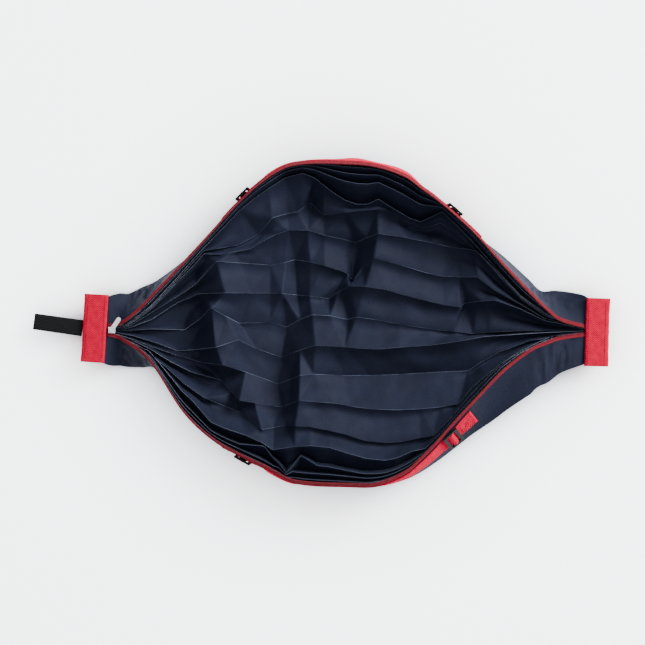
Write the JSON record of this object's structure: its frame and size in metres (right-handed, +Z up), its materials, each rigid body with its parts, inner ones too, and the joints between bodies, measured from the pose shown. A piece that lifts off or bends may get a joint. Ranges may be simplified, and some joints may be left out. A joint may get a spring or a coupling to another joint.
{
  "type": "foldable shopping bag",
  "caption": "Foldable cloth shopping bag with accordion pleats, lying open with its zipped mouth up, webbing handles on sliding buckles and an elastic closing loop.",
  "frame": {"origin": "on the table under the middle of the mouth, halfway between its two ends", "axes": "+X along the bag from the zip slider's end to the other end, +Y from the front handle to the back handle, +Z up out of the mouth"},
  "size_m": [0.6026, 0.3407, 0.0598],
  "materials": {
    "cloth": "thin plain-weave polyester with a slight sheen",
    "webbing": "ribbed polyester webbing",
    "zip": "woven zip tape with a moulded coil",
    "elastic": "ribbed woven elastic",
    "metal": "nickel plated",
    "plastic": "moulded acetal"
  },
  "bodies": {
    "bag": {"bag_body": "cloth", "zip_tape_front": "zip", "zip_tape_back": "zip", "zip_slider": "metal", "end_band_left": "webbing", "end_band_right": "webbing", "closing_loop": "elastic", "handle_front": "webbing", "handle_back": "webbing", "buckle_front_left": "plastic", "buckle_front_right": "plastic", "buckle_back_left": "plastic", "buckle_back_right": "plastic"},
    "pull": {"zip_pull": "metal"}
  },
  "joints": [
    {"name": "pull_hinge", "type": "hinge", "parent": "bag", "child": "pull", "pos_m": [-0.2435, -0.008, 0.02742], "axis": [0.829, -0.5592, 0], "range_deg": [0, 170]}
  ]
}
